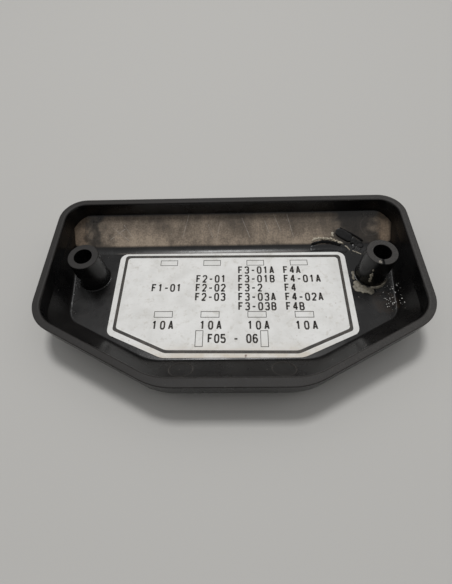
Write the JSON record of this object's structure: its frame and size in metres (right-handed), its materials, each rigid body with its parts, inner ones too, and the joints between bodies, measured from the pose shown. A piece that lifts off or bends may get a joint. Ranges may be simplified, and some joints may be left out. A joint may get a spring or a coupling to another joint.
{
  "type": "fuse box cover",
  "caption": "Shallow black moulded fuse box cover with sloping walls and tubular screw bosses, shown open side up with a printed label inside.",
  "frame": {"origin": "middle of the flat outer face, which is the face it lies on, under the centre of the rim outline", "axes": "+X along the long side, +Y to the straight back edge that has no chamfered corners, +Z out of the open side"},
  "size_m": [0.1184, 0.0676, 0.0148],
  "materials": {
    "black_plastic": "semi-gloss moulded, dusty and rubbed",
    "clear_adhesive": "yellowed clear adhesive",
    "white_film": "satin white label film, slightly soiled",
    "black_ink": "flat printed ink",
    "old_glue": "hardened yellow-grey glue"
  },
  "bodies": {
    "root": {"cover_shell": "black_plastic", "label_adhesive": "clear_adhesive", "label_film": "white_film", "label_ink": "black_ink", "repair_glue": "old_glue"}
  },
  "joints": []
}
